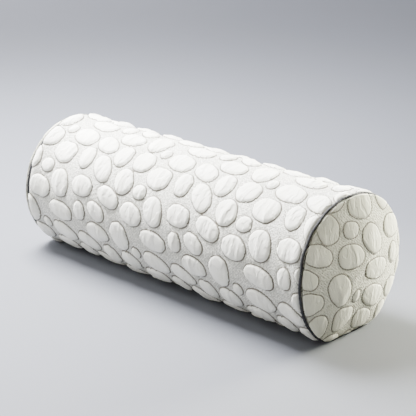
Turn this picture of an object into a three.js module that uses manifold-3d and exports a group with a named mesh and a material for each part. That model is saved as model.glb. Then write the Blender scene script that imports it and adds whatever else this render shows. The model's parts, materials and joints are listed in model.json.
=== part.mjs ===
// A bolster pillow: a foam core in a sewn liner, inside a quilted cover with piped end seams and
// a lengthwise zip along its back. Millimetres, X along the bolster, Z up, the floor at z = 0.
import * as THREE from 'three';
import { mergeVertices } from 'three/addons/utils/BufferGeometryUtils.js';
import Module from 'manifold-3d';

const wasm = await Module();
wasm.setup();

// Driving sizes
const SEAM_SPACING = 398;        // between the middles of the two piped end seams
const BODY_RADIUS = 75;          // outside of the cover where it is round
const PRESSED_DEPTH = 8.4;       // how far its own weight flattens the round section underneath
const PRESSED_FILLET = 26;       // radius between that flat and the round
const REST_RAMP = 22;            // length over which the body sinks from a seam down to the floor
const COVER_THICKNESS = 2.6;     // quilted knit
const SEAM_DEPTH = 12;           // from the outside of the cover to the raw edge of an end seam
const DOME_HEIGHT = 14;          // of an end panel, above its seam
const DOME_POWER = 1.5;          // how its crown falls to the rim: 1 is an ellipse, 2 a parabola
const FIT_GAP = 0.3;             // between touching pieces
const SOFT_GAP = 0.6;            // between nested soft layers

const BEAD_RADIUS = 1.4;         // outside of the piping
const BEAD_SUNK = 0.6;           // piping's middle below the round of the cover
const BEAD_CLOTH = 0.35;         // piping's bias strip
const BEAD_SEAT_GAP = 0.35;      // between the piping and the cover's corner beside it
const CORD_RADIUS = 0.7;         // filler cord

const LINER_THICKNESS = 0.8;
const LINER_LAP = 10;            // overlap where a liner end is sewn inside the liner tube

const ZIP_ANGLE = 20;            // of the zip above level, in degrees, at the back
const ZIP_END_MARGIN = 49;       // from an end seam to the zip's slot
const SLOT_SIDE = 1.7;           // room between the slider and the slot's sides
const STOP_ROOM = 5;             // of the slot past each end of the chain
const TAPE_WIDTH = 14.2;
const TAPE_THICKNESS = 0.6;
const TAPE_GAP = 0.6;            // between the cover and the tapes under it
const TAPE_TAIL = 14;            // of tape past each end of the slot
const CHAIN_GAP = 0.8;           // from the zip's middle to either coil
const COIL_WIDTH = 2.7;
const COIL_HEIGHT = 2.2;
const COIL_ROUND = 0.7;
const STOP_LENGTH = 3;

const SLIDER_LENGTH = 12;
const SLIDER_PLATE = 1.3;
const SLIDER_RIM = 1;            // side rims that hold the coils
const SLIDER_SHOULDER = 4;       // length of its wide front
const SLIDER_CORNER = 1;
const CROWN_LENGTH = 7.6;        // arch that carries the pull tab
const CROWN_WIDTH = 2.2;
const CROWN_BAR = 1.1;
const CROWN_ROOM = 0.52;         // between the arch and the tab's bar as it turns
const TAB_LENGTH = 30;
const TAB_WIDTH = 8;
const TAB_THICKNESS = 1.4;
const TAB_SHOULDER = 2.5;        // length over which the tab widens from its bar
const TAB_CORNER = 1;
const TAB_EYE_ROOM = 1.1;        // past the arch's corners, which pass through the eye
const TAB_EYE_SIDE = 0.5;        // either side of the arch

const LABEL_LENGTH = 18;
const LABEL_WIDTH = 27;
const LABEL_THICKNESS = 0.5;
const POCKET_SIDE = 1;           // room past the tapes in the hollow that the core gives them

const ROUND_STEPS = 40;          // facets around the bolster
const DOME_STEPS = 4;
const RAMP_STEPS = 3;
const CORNER_STEPS = 2;
const BEAD_STEPS = 8;
const STRIP_STEPS = 4;
const SMALL_STEPS = 3;           // in each small rounding of the zip's metal
const TAB_STEPS = 8;

// Sizes that follow from them
const CENTRE_HEIGHT = BODY_RADIUS - PRESSED_DEPTH;
const SEAM_X = SEAM_SPACING / 2;
const RAW_EDGE_RADIUS = BODY_RADIUS - SEAM_DEPTH;
const BEAD_MIDDLE_RADIUS = BODY_RADIUS - BEAD_SUNK;
const SEAM_RISE = CENTRE_HEIGHT * (1 - BODY_RADIUS / (BEAD_MIDDLE_RADIUS + BEAD_RADIUS));
const PLY_INSIDE = FIT_GAP / 2;
const PLY_OUTSIDE = PLY_INSIDE + BEAD_CLOTH;
const PANEL_START = PLY_OUTSIDE + FIT_GAP;       // from the seam's middle to the cover on either side
const BODY_END_X = SEAM_X - PANEL_START;
const SEAT_REACH = BEAD_RADIUS + BEAD_SEAT_GAP;
const SEAT_SPARE = SEAT_REACH + BEAD_SUNK - PANEL_START;
// The rounded corner of the body panel that stays a seat's reach from the piping's middle.
const CORNER_RADIUS = SEAT_SPARE
  + Math.sqrt(SEAT_SPARE ** 2 + SEAT_REACH ** 2 - PANEL_START ** 2 - BEAD_SUNK ** 2);
const RAMP_END_X = BODY_END_X - CORNER_RADIUS;
const RAMP_X = RAMP_END_X - REST_RAMP;
const COVER_INNER_RADIUS = BODY_RADIUS - COVER_THICKNESS;
const END_START_X = SEAM_X + PANEL_START;
const END_FOLD_X = END_START_X + COVER_THICKNESS;
const END_FOLD_RADIUS = BEAD_MIDDLE_RADIUS - BEAD_RADIUS - FIT_GAP;
const END_RIM_RADIUS = BODY_RADIUS - (BEAD_RADIUS + FIT_GAP) / 2;
const END_INNER_RIM = END_RIM_RADIUS - COVER_THICKNESS;
const END_INNER_CROWN = DOME_HEIGHT - 2 * COVER_THICKNESS;

const LINER_RADIUS = COVER_INNER_RADIUS - SOFT_GAP;
const LINER_END_X = BODY_END_X - COVER_THICKNESS - FIT_GAP;
const NOSE_RADIUS = RAW_EDGE_RADIUS - SOFT_GAP;

const ZIP_X = SEAM_X - ZIP_END_MARGIN;           // half the slot's length
const CHAIN_X = ZIP_X - STOP_ROOM;
const TAPE_OUTER = COVER_INNER_RADIUS - TAPE_GAP;
const TAPE_INNER = TAPE_OUTER - TAPE_THICKNESS;
const COIL_BASE = TAPE_OUTER + FIT_GAP;
const COIL_TOP = COIL_BASE + COIL_HEIGHT;
const COIL_SIDE = CHAIN_GAP + COIL_WIDTH;
const COIL_MIDDLE = CHAIN_GAP + COIL_WIDTH / 2;
const STOP_X = CHAIN_X + FIT_GAP + STOP_LENGTH / 2;
const PLATE_BASE = COIL_TOP + FIT_GAP;
const PLATE_TOP = PLATE_BASE + SLIDER_PLATE;
const PLATE_BITE = SLIDER_PLATE / 2;             // overlap that joins a plate to what stands on it
const SLIDER_HALF_WIDTH = COIL_SIDE + FIT_GAP + SLIDER_RIM;
const KEEL_TOP = Math.sqrt(TAPE_INNER ** 2 - SLIDER_HALF_WIDTH ** 2) - FIT_GAP;
const KEEL_BASE = KEEL_TOP - SLIDER_PLATE;
const SLIDER_X = CHAIN_X - SLIDER_LENGTH / 2;
const SHOULDER_X = SLIDER_LENGTH / 2 - SLIDER_SHOULDER;       // from the slider's middle
const CORNER_X = SLIDER_LENGTH / 2 - SLIDER_CORNER;
const SLOT_HALF_WIDTH = SLIDER_HALF_WIDTH + SLOT_SIDE;
const BAR_REACH = TAB_THICKNESS * Math.SQRT1_2;  // of the tab's square bar as it turns
const TAB_HINGE_RADIUS = PLATE_TOP + FIT_GAP + BAR_REACH;
const CROWN_TOP = TAB_HINGE_RADIUS + BAR_REACH + CROWN_ROOM + CROWN_BAR;
const TAB_EYE_END = Math.hypot(CROWN_LENGTH / 2, CROWN_TOP - TAB_HINGE_RADIUS) + TAB_EYE_ROOM;
const TAPE_FAR_SIDE = CHAIN_GAP + TAPE_WIDTH;
const LABEL_INNER = TAPE_OUTER - LABEL_THICKNESS;
const TAPE_EDGE_BASE = Math.sqrt(TAPE_INNER ** 2 - TAPE_FAR_SIDE ** 2);
const LABEL_EDGE_BASE = Math.sqrt(LABEL_INNER ** 2 - (LABEL_WIDTH / 2) ** 2);
const POCKET_FLOOR = Math.min(KEEL_BASE, TAPE_EDGE_BASE, LABEL_EDGE_BASE) - FIT_GAP;
const POCKET_HALF_WIDTH = Math.max(TAPE_FAR_SIDE, LABEL_WIDTH / 2) + POCKET_SIDE;
const TAPE_X = ZIP_X + TAPE_TAIL;
const LABEL_X = -TAPE_X - 2 * FIT_GAP - LABEL_LENGTH / 2;

const PIPING = [0x4b4d52, 0.8, 0];
const QUILT = [0xf1f0ea, 0.9, 0];
const LINER = [0xf4f4f2, 0.95, 0];
const FOAM = [0xf3ead2, 0.95, 0];
const TAPE = [0xeeeeea, 0.85, 0];
const NYLON = [0xe4e4df, 0.45, 0];
const METAL = [0xb9bcc0, 0.3, 0.9];

const bolster = new THREE.Group();
const zip = new THREE.Group();                   // x along the zip, y across it, z out of the cover
zip.position.z = CENTRE_HEIGHT;
zip.rotation.x = THREE.MathUtils.degToRad(ZIP_ANGLE - 90);
zip.updateMatrix();
bolster.add(zip);

function addPiece(parent, name, geometry, [color, roughness, metalness]) {
  const material = new THREE.MeshStandardMaterial({ color, roughness, metalness });
  const mesh = new THREE.Mesh(geometry, material);
  mesh.name = name;
  parent.add(mesh);
  return mesh;
}

// Solids for booleans

function solidFrom(geometry) {
  const bare = geometry.clone();
  bare.deleteAttribute('normal');
  bare.deleteAttribute('uv');
  const merged = mergeVertices(bare);
  const corners = merged.index.array;
  const kept = [];
  for (let i = 0; i < corners.length; i += 3) {
    const [a, b, c] = [corners[i], corners[i + 1], corners[i + 2]];
    if (a !== b && b !== c && c !== a) {
      kept.push(a, b, c);
    }
  }
  const vertProperties = new Float32Array(merged.attributes.position.array);
  const triVerts = new Uint32Array(kept);
  return new wasm.Manifold(new wasm.Mesh({ numProp: 3, vertProperties, triVerts }));
}

function geometryFrom(solid) {
  const { vertProperties, triVerts } = solid.getMesh();
  const geometry = new THREE.BufferGeometry();
  geometry.setAttribute('position', new THREE.BufferAttribute(vertProperties, 3));
  geometry.setIndex(new THREE.BufferAttribute(triVerts, 1));
  geometry.computeVertexNormals();
  return geometry;
}

function block(x0, x1, y0, y1, z0, z1) {
  const geometry = new THREE.BoxGeometry(x1 - x0, y1 - y0, z1 - z0);
  return geometry.translate((x0 + x1) / 2, (y0 + y1) / 2, (z0 + z1) / 2);
}

// The pressed section: round above, flat underneath, with a fillet between them.
// It gives the share of its round radius that a point keeps, by its angle from straight down.
function pressedShare(angle, rise) {
  const depth = CENTRE_HEIGHT - rise;
  const arm = BODY_RADIUS - PRESSED_FILLET;
  const filletY = Math.sqrt(arm ** 2 - (depth - PRESSED_FILLET) ** 2);
  const filletAngle = Math.atan2(filletY, depth - PRESSED_FILLET);
  if (angle >= filletAngle) {
    return 1;
  }
  if (depth * Math.tan(angle) <= filletY) {
    return depth / Math.cos(angle) / BODY_RADIUS;
  }
  const along = arm * Math.cos(filletAngle - angle);
  const across = arm * Math.sin(filletAngle - angle);
  return (along + Math.sqrt(PRESSED_FILLET ** 2 - across ** 2)) / BODY_RADIUS;
}

// The end seams stand on their piping, and the softer body between them sinks to the same floor.
function riseAt(x) {
  return SEAM_RISE * THREE.MathUtils.clamp((Math.abs(x) - RAMP_X) / (RAMP_END_X - RAMP_X), 0, 1);
}

function rampPoints(radius) {
  const points = [];
  for (let i = 0; i < RAMP_STEPS; i += 1) {
    points.push([RAMP_X + (RAMP_END_X - RAMP_X) * i / RAMP_STEPS, radius]);
  }
  return points;
}

// A body of revolution about the bolster's axis, from [x, radius] points, pressed like the bolster.
function roundPiece(profile) {
  const points = profile.map(([x, radius]) => new THREE.Vector2(radius, x));
  const geometry = new THREE.LatheGeometry(points, ROUND_STEPS);
  geometry.rotateZ(-Math.PI / 2);
  const position = geometry.attributes.position;
  for (let i = 0; i < position.count; i += 1) {
    const [x, y, z] = [position.getX(i), position.getY(i), position.getZ(i)];
    const share = pressedShare(Math.atan2(Math.abs(y), -z), riseAt(x));
    position.setXYZ(i, x, y * share, z * share + CENTRE_HEIGHT);
  }
  return geometry;
}

// Points of a profile for both ends, given the right-hand end's points from the middle outwards.
function bothEnds(rightHalf) {
  const leftHalf = rightHalf.map(([x, radius]) => [-x, radius]).reverse();
  return [...leftHalf, ...rightHalf];
}

function closeProfile(profile) {
  return [...profile, profile[0]];
}

function arcPoints([centreX, centreRadius], radius, [fromAngle, toAngle], steps) {
  const points = [];
  for (let i = 0; i <= steps; i += 1) {
    const angle = fromAngle + (toAngle - fromAngle) * i / steps;
    points.push([centreX + radius * Math.cos(angle), centreRadius + radius * Math.sin(angle)]);
  }
  return points;
}

// A crown from its rim to the axis, which stands on the plane startX.
function crownPoints(startX, height, rimRadius, startRadius) {
  const points = [];
  const startAngle = Math.acos(startRadius / rimRadius);
  for (let i = 0; i <= DOME_STEPS; i += 1) {
    const angle = startAngle + (Math.PI / 2 - startAngle) * i / DOME_STEPS;
    const radius = i === DOME_STEPS ? 0 : rimRadius * Math.cos(angle);
    points.push([startX + height * Math.sin(angle) ** DOME_POWER, radius]);
  }
  return points;
}

function extrude(outline, depth, curveSegments) {
  return new THREE.ExtrudeGeometry(outline, { depth, bevelEnabled: false, curveSegments });
}

// Cover

function coverBodyPanel() {
  const cornerMiddle = [BODY_END_X - CORNER_RADIUS, BODY_RADIUS - CORNER_RADIUS];
  const outer = [
    ...rampPoints(BODY_RADIUS),
    ...arcPoints(cornerMiddle, CORNER_RADIUS, [Math.PI / 2, 0], CORNER_STEPS),
    [BODY_END_X, RAW_EDGE_RADIUS],
  ];
  const inner = [
    ...rampPoints(COVER_INNER_RADIUS),
    [BODY_END_X - COVER_THICKNESS, COVER_INNER_RADIUS],
    [BODY_END_X - COVER_THICKNESS, RAW_EDGE_RADIUS],
  ];
  const profile = [...bothEnds(outer), ...bothEnds(inner).reverse()];
  const panel = solidFrom(roundPiece(closeProfile(profile)));
  const slot = block(-ZIP_X, ZIP_X, -SLOT_HALF_WIDTH, SLOT_HALF_WIDTH, KEEL_BASE, PLATE_TOP);
  return geometryFrom(panel.subtract(solidFrom(slot.applyMatrix4(zip.matrix))));
}

function coverEndPanel(side) {
  const crown = crownPoints(END_FOLD_X, DOME_HEIGHT - COVER_THICKNESS, END_RIM_RADIUS, END_RIM_RADIUS);
  const innerCrown = crownPoints(END_FOLD_X, END_INNER_CROWN, END_INNER_RIM, END_INNER_RIM);
  const profile = [
    [END_START_X, RAW_EDGE_RADIUS],
    [END_START_X, END_FOLD_RADIUS],
    ...crown,
    ...innerCrown.reverse(),
    [END_FOLD_X, RAW_EDGE_RADIUS],
  ];
  return atEnd(side, profile);
}

// A round piece made for the right-hand end, or its mirror for the left-hand one.
function atEnd(side, profile) {
  const placed = profile.map(([x, radius]) => [side * x, radius]);
  return roundPiece(closeProfile(side > 0 ? placed : placed.reverse()));
}

// Piping

const BEAD_MIDDLE = [SEAM_X, BEAD_MIDDLE_RADIUS];

// The strip wraps the cord and its two plies run down to the seam's raw edge.
function pipingSleeve(side) {
  const insideRadius = BEAD_RADIUS - BEAD_CLOTH;
  const outsideTilt = Math.asin(PLY_OUTSIDE / BEAD_RADIUS);
  const insideTilt = Math.asin(PLY_INSIDE / insideRadius);
  const [down, turn] = [-Math.PI / 2, 2 * Math.PI];
  const outside = [down - outsideTilt, down + outsideTilt - turn];
  const inside = [down + insideTilt, down - insideTilt + turn];
  const profile = [
    [SEAM_X - PLY_OUTSIDE, RAW_EDGE_RADIUS],
    ...arcPoints(BEAD_MIDDLE, BEAD_RADIUS, outside, BEAD_STEPS),
    [SEAM_X + PLY_OUTSIDE, RAW_EDGE_RADIUS],
    [SEAM_X + PLY_INSIDE, RAW_EDGE_RADIUS],
    ...arcPoints(BEAD_MIDDLE, insideRadius, inside, BEAD_STEPS),
    [SEAM_X - PLY_INSIDE, RAW_EDGE_RADIUS],
  ];
  return atEnd(side, profile);
}

function pipingCord(side) {
  const circle = arcPoints(BEAD_MIDDLE, CORD_RADIUS, [2 * Math.PI, 0], BEAD_STEPS);
  return atEnd(side, circle.slice(0, -1));
}

// Liner and core, with a shallow hollow under the zip

function zipPocket(growth) {
  const pocket = block(LABEL_X - LABEL_LENGTH / 2 - FIT_GAP - growth, TAPE_X + FIT_GAP + growth,
    -POCKET_HALF_WIDTH - growth, POCKET_HALF_WIDTH + growth, POCKET_FLOOR - growth, BODY_RADIUS);
  return solidFrom(pocket.applyMatrix4(zip.matrix));
}

function plainTube(radius, endX) {
  return solidFrom(roundPiece(bothEnds([...rampPoints(radius), [endX, radius], [endX, 0]])));
}

function linerBody() {
  const outside = plainTube(LINER_RADIUS, LINER_END_X).subtract(zipPocket(0));
  const inside = plainTube(LINER_RADIUS - LINER_THICKNESS, LINER_END_X + FIT_GAP);
  return geometryFrom(outside.subtract(inside.subtract(zipPocket(LINER_THICKNESS))));
}

// The nose of the core that swells through the ring of an end seam, inset by a layer's depth.
function nosePoints(inset) {
  const height = END_INNER_CROWN - inset;
  return crownPoints(END_FOLD_X - SOFT_GAP, height, END_INNER_RIM, NOSE_RADIUS - inset);
}

function linerEnd(side) {
  const lapRadius = LINER_RADIUS - LINER_THICKNESS - SOFT_GAP;
  const profile = [
    [LINER_END_X - LINER_LAP, lapRadius],
    [LINER_END_X, lapRadius],
    [LINER_END_X, NOSE_RADIUS],
    ...nosePoints(0),
    ...nosePoints(LINER_THICKNESS).reverse(),
    [LINER_END_X - LINER_THICKNESS, NOSE_RADIUS - LINER_THICKNESS],
    [LINER_END_X - LINER_THICKNESS, lapRadius - LINER_THICKNESS],
    [LINER_END_X - LINER_LAP, lapRadius - LINER_THICKNESS],
  ];
  return atEnd(side, profile);
}

function foamCore() {
  const inset = LINER_THICKNESS + SOFT_GAP;
  const radius = LINER_RADIUS - 2 * inset;
  const half = [
    ...rampPoints(radius),
    [LINER_END_X - inset, radius],
    [LINER_END_X - inset, NOSE_RADIUS - inset],
    ...nosePoints(inset),
  ];
  const core = solidFrom(roundPiece(bothEnds(half)));
  return geometryFrom(core.subtract(zipPocket(inset)));
}

// Zip

// A strip that follows the bolster's round, between two distances across the zip.
function curvedStrip(innerRadius, outerRadius, fromY, toY, length) {
  const middle = (innerRadius + outerRadius) / 2;
  const start = Math.PI / 2 - Math.asin(toY / middle);
  const end = Math.PI / 2 - Math.asin(fromY / middle);
  const outline = new THREE.Shape();
  outline.absarc(0, 0, outerRadius, start, end, false);
  outline.absarc(0, 0, innerRadius, end, start, true);
  const geometry = extrude(outline, length, STRIP_STEPS).translate(0, 0, -length / 2);
  return geometry.rotateY(Math.PI / 2).rotateX(Math.PI / 2);
}

function zipTape(side) {
  const [fromY, toY] = side > 0 ? [CHAIN_GAP, TAPE_FAR_SIDE] : [-TAPE_FAR_SIDE, -CHAIN_GAP];
  return curvedStrip(TAPE_INNER, TAPE_OUTER, fromY, toY, 2 * TAPE_X);
}

// A bar along the zip that stands on the tapes, as tall as the coils and rounded above.
function chainBar(width, length) {
  const half = width / 2;
  const shoulder = COIL_TOP - COIL_ROUND;
  const section = new THREE.Shape();
  section.moveTo(-half, COIL_BASE);
  section.lineTo(half, COIL_BASE);
  section.lineTo(half, shoulder);
  section.quadraticCurveTo(half, COIL_TOP, half - COIL_ROUND, COIL_TOP);
  section.lineTo(COIL_ROUND - half, COIL_TOP);
  section.quadraticCurveTo(-half, COIL_TOP, -half, shoulder);
  section.closePath();
  const geometry = extrude(section, length, SMALL_STEPS).translate(0, 0, -length / 2);
  return geometry.rotateX(Math.PI / 2).rotateZ(Math.PI / 2);
}

function zipCoil(side) {
  return chainBar(COIL_WIDTH, 2 * CHAIN_X).translate(0, side * COIL_MIDDLE, 0);
}

function topStop(side) {
  return chainBar(COIL_WIDTH, STOP_LENGTH).translate(STOP_X, side * COIL_MIDDLE, 0);
}

function bottomStop() {
  return chainBar(2 * COIL_SIDE, STOP_LENGTH).translate(-STOP_X, 0, 0);
}

// The slider's outline from above: wide shoulders in front, a narrower tail.
function sliderPlate(base) {
  const front = SLIDER_LENGTH / 2;
  const side = SLIDER_HALF_WIDTH;
  const cornerY = side - SLIDER_CORNER;
  const outline = new THREE.Shape();
  outline.moveTo(-front, -COIL_SIDE);
  outline.quadraticCurveTo(0, -COIL_SIDE, SHOULDER_X, -side);
  outline.lineTo(CORNER_X, -side);
  outline.quadraticCurveTo(front, -side, front, -cornerY);
  outline.lineTo(front, cornerY);
  outline.quadraticCurveTo(front, side, CORNER_X, side);
  outline.lineTo(SHOULDER_X, side);
  outline.quadraticCurveTo(0, COIL_SIDE, -front, COIL_SIDE);
  outline.closePath();
  return extrude(outline, SLIDER_PLATE, SMALL_STEPS).translate(0, 0, base);
}

function sliderCrown() {
  const half = CROWN_LENGTH / 2;
  const inner = half - CROWN_BAR;
  const foot = PLATE_TOP - PLATE_BITE;
  const under = CROWN_TOP - CROWN_BAR;
  const arch = new THREE.Shape();
  arch.moveTo(-half, foot);
  arch.lineTo(-half, under);
  arch.quadraticCurveTo(-half, CROWN_TOP, -inner, CROWN_TOP);
  arch.lineTo(inner, CROWN_TOP);
  arch.quadraticCurveTo(half, CROWN_TOP, half, under);
  arch.lineTo(half, foot);
  arch.lineTo(inner, foot);
  arch.lineTo(inner, under);
  arch.lineTo(-inner, under);
  arch.lineTo(-inner, foot);
  arch.closePath();
  const geometry = extrude(arch, CROWN_WIDTH, SMALL_STEPS);
  return geometry.translate(0, 0, -CROWN_WIDTH / 2).rotateX(Math.PI / 2);
}

// Two plates, joined by a divider between the coils, with rims outside the coils and the arch above.
function sliderBody() {
  const rimInner = SLIDER_HALF_WIDTH - SLIDER_RIM;
  const divider = CHAIN_GAP - FIT_GAP;
  const top = PLATE_BASE + PLATE_BITE;
  const pieces = [
    sliderPlate(KEEL_BASE),
    sliderCrown(),
    block(SHOULDER_X, CORNER_X, -divider, divider, KEEL_TOP - PLATE_BITE, top),
    block(SHOULDER_X, CORNER_X, rimInner, SLIDER_HALF_WIDTH, COIL_BASE, top),
    block(SHOULDER_X, CORNER_X, -SLIDER_HALF_WIDTH, -rimInner, COIL_BASE, top),
  ];
  let body = solidFrom(sliderPlate(PLATE_BASE));
  for (const piece of pieces) {
    body = body.add(solidFrom(piece));
  }
  return geometryFrom(body);
}

// The tab lies back along the closed chain, with its hinge bar through the crown.
function pullTab() {
  const bar = TAB_THICKNESS / 2;
  const half = TAB_WIDTH / 2;
  const endMiddle = bar - TAB_LENGTH + half;
  const outline = new THREE.Shape();
  outline.moveTo(bar, TAB_CORNER - half);
  outline.lineTo(bar, half - TAB_CORNER);
  outline.lineTo(bar - TAB_SHOULDER, half);
  outline.lineTo(endMiddle, half);
  outline.absarc(endMiddle, 0, half, Math.PI / 2, 3 * Math.PI / 2, false);
  outline.lineTo(bar - TAB_SHOULDER, -half);
  outline.closePath();
  const eyeHalf = CROWN_WIDTH / 2 + TAB_EYE_SIDE;
  const eye = new THREE.Path();
  eye.moveTo(-bar, -eyeHalf);
  eye.lineTo(-TAB_EYE_END, -eyeHalf);
  eye.lineTo(-TAB_EYE_END, eyeHalf);
  eye.lineTo(-bar, eyeHalf);
  eye.closePath();
  outline.holes.push(eye);
  return extrude(outline, TAB_THICKNESS, TAB_STEPS).translate(0, 0, TAB_HINGE_RADIUS - bar);
}

// A blank label sewn across the seam, past the zip's left end.
function careLabel() {
  const side = LABEL_WIDTH / 2;
  return curvedStrip(LABEL_INNER, TAPE_OUTER, -side, side, LABEL_LENGTH).translate(LABEL_X, 0, 0);
}

const ENDS = [['right', 1], ['left', -1]];
const ZIP_SIDES = [['upper', -1], ['lower', 1]];

addPiece(bolster, 'cover_body_panel', coverBodyPanel(), QUILT);
addPiece(bolster, 'liner_body', linerBody(), LINER);
addPiece(bolster, 'foam_core', foamCore(), FOAM);
for (const [name, side] of ENDS) {
  addPiece(bolster, `cover_end_panel_${name}`, coverEndPanel(side), QUILT);
  addPiece(bolster, `piping_sleeve_${name}`, pipingSleeve(side), PIPING);
  addPiece(bolster, `piping_cord_${name}`, pipingCord(side), LINER);
  addPiece(bolster, `liner_end_${name}`, linerEnd(side), LINER);
}
for (const [name, side] of ZIP_SIDES) {
  addPiece(zip, `zip_tape_${name}`, zipTape(side), TAPE);
  addPiece(zip, `zip_coil_${name}`, zipCoil(side), NYLON);
  addPiece(zip, `zip_top_stop_${name}`, topStop(side), METAL);
}
addPiece(zip, 'zip_bottom_stop', bottomStop(), METAL);
addPiece(zip, 'zip_slider_body', sliderBody(), METAL).position.x = SLIDER_X;
addPiece(zip, 'zip_pull_tab', pullTab(), METAL).position.x = SLIDER_X;
addPiece(zip, 'care_label', careLabel(), TAPE);

export default bolster;
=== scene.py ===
"""The bolster pillow's looks: pebble-quilted knit cover, charcoal piping, zip, liner and core."""

import json
import math

import bpy
import numpy as np
from mathutils import Matrix, Vector


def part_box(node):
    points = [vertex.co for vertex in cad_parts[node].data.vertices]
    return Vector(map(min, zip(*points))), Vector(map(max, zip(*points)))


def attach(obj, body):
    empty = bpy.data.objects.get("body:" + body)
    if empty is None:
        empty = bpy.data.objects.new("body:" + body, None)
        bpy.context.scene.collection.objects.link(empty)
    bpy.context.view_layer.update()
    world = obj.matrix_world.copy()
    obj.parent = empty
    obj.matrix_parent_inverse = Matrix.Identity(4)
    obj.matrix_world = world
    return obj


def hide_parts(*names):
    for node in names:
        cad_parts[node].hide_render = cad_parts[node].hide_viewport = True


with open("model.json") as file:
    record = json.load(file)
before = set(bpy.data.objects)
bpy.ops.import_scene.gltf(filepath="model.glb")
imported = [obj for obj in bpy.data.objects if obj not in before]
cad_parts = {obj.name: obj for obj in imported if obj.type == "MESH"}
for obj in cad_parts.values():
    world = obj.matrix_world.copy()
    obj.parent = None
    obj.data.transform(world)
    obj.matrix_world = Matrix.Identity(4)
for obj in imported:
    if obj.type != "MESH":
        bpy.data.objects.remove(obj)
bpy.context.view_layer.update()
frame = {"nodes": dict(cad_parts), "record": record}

MM = 0.001

# ---- sizes from the frame, in millimetres


def box_mm(node):
    low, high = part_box(node)
    return np.array(low) / MM, np.array(high) / MM


body_low, body_high = box_mm("cover_body_panel")
bead_low, bead_high = box_mm("piping_sleeve_right")
end_low, end_high = box_mm("cover_end_panel_right")
joints = {joint["name"]: joint for joint in frame["record"]["behaviour"]["joints"]}

BODY_RADIUS = (body_high[1] - body_low[1]) / 2
CENTRE_HEIGHT = body_high[2] - BODY_RADIUS
BODY_END_X = body_high[0]
BEAD_REACH = (bead_high[1] - bead_low[1]) / 2
SEAM_X = (bead_low[0] + bead_high[0]) / 2
BEAD_RADIUS = (bead_high[0] - bead_low[0]) / 2
END_START_X = end_low[0]
END_TOP_X = end_high[0]
END_REACH = (end_high[1] - end_low[1]) / 2
SEAM_RISE = CENTRE_HEIGHT * (1 - BODY_RADIUS / BEAD_REACH)
hinge_at = np.array(joints["pull_tab_hinge"]["pos_m"]) / MM
ZIP_ANGLE = math.atan2(hinge_at[2] - CENTRE_HEIGHT, hinge_at[1])  # above level, at the back
ZIP_PHI = ZIP_ANGLE - math.pi / 2  # from the top, positive to the front
ZIP_V = ZIP_PHI * BODY_RADIUS
AROUND = math.tau * BODY_RADIUS
SIDES = ((1, "right"), (-1, "left"))

PRESSED_FILLET = 26.0  # between the flat underside and the round
REST_RAMP = 22.0  # over which the body sinks from a seam to the floor
CORNER_RADIUS = 4.0  # of the cover's corner beside a seam
LOWEST = 0.15  # above the floor, of any point



def joined(*parts):
    """Arrays side by side as the last axis of one, spread to the same shape."""
    return np.stack(np.broadcast_arrays(*parts), axis=-1)


# ---- the quilting, in millimetres

REPEAT_U = 145.0  # along the bolster
REPEAT_V = 122.5  # around it
SKEW = 2.25 / REPEAT_U  # the cloth was cut slightly off its grain

# One repeat of the jacquard, listed: each pebble's middle along and around, half length,
# half width, tilt in degrees and how much narrower it is at the end it tilts towards.
PEBBLES = (
    (0, 30, 19, 13, 15, 0.05), (38, 33, 17.5, 11.5, 25, 0.10), (70, 42, 15, 12, 85, 0.05),
    (101, 41, 14.5, 14.5, 0, 0.08), (117, 22.5, 7.5, 6.7, 90, 0.0), (-12, 57, 17, 14.3, 10, -0.08),
    (23, 56, 14.7, 11, 78, 0.06), (53, 63, 18.5, 12, 48, 0.03), (90, 69.5, 16, 13.5, 62, -0.05),
    (117, 75.5, 10, 9, 0, 0.05), (-2, 93, 17.3, 13.7, 62, 0.06), (33.5, 88.5, 16.3, 12.5, 5, 0.06),
    (75, 91.5, 17.8, 11.3, 22, 0.04), (112.5, 101, 16.7, 13, 12, 0.06), (1.5, 124, 19.5, 11.6, 8, -0.05),
    (33, 116.5, 11.8, 9, 80, -0.02), (59, 111, 14.8, 9.8, 33, -0.10), (95, 131, 17.7, 13.7, 75, 0.10),
    (59, 136.5, 17.5, 12, 5, 0.06),
)
PEBBLE_FILL = 0.955  # share of a pebble's woven size left inside its stitched line
PEBBLE_POWER = 2.2  # 2 is an ellipse, more is squarer
WOBBLE = 0.017  # unevenness of a pebble's outline, as a share of its size
STITCH_DEPTH = 2.7  # of the stitched lines below the cover's nominal surface
WALL_WIDTH = 1.2  # from a stitched line to the top of a pebble's steep shoulder
WALL_HEIGHT = 2.1
CROWN_HEIGHT = 1.2
GROUND_HEIGHT = 0.95
STITCH_PITCH = 3.1
STITCH_LENGTH = 2.5
STITCH_THICKNESS = 0.6
THREAD_LIFT = 0.2  # of the quilting thread's middle above its line
THREAD_SIDES = 4
GRID = 1.45  # spacing of the cover's mesh
FAR_OUTSIDE = -30.0  # distance given to cloth that no pebble is near
NEIGHBOUR = 24.0  # how far outside a range of cloth a pebble still matters
SHOULDER = 0.62  # how fast the cloth rises beside a line: on a pebble's steep side,
SHOULDER_POWER = 1.3
CROWN_RUN = 5.0  # over the rest of the pebble,
GROUND_RUN = 0.8  # on the ground,
FOLD_RUN = 2.2  # and the pebble's own folds

rng = np.random.default_rng(7)


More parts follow.
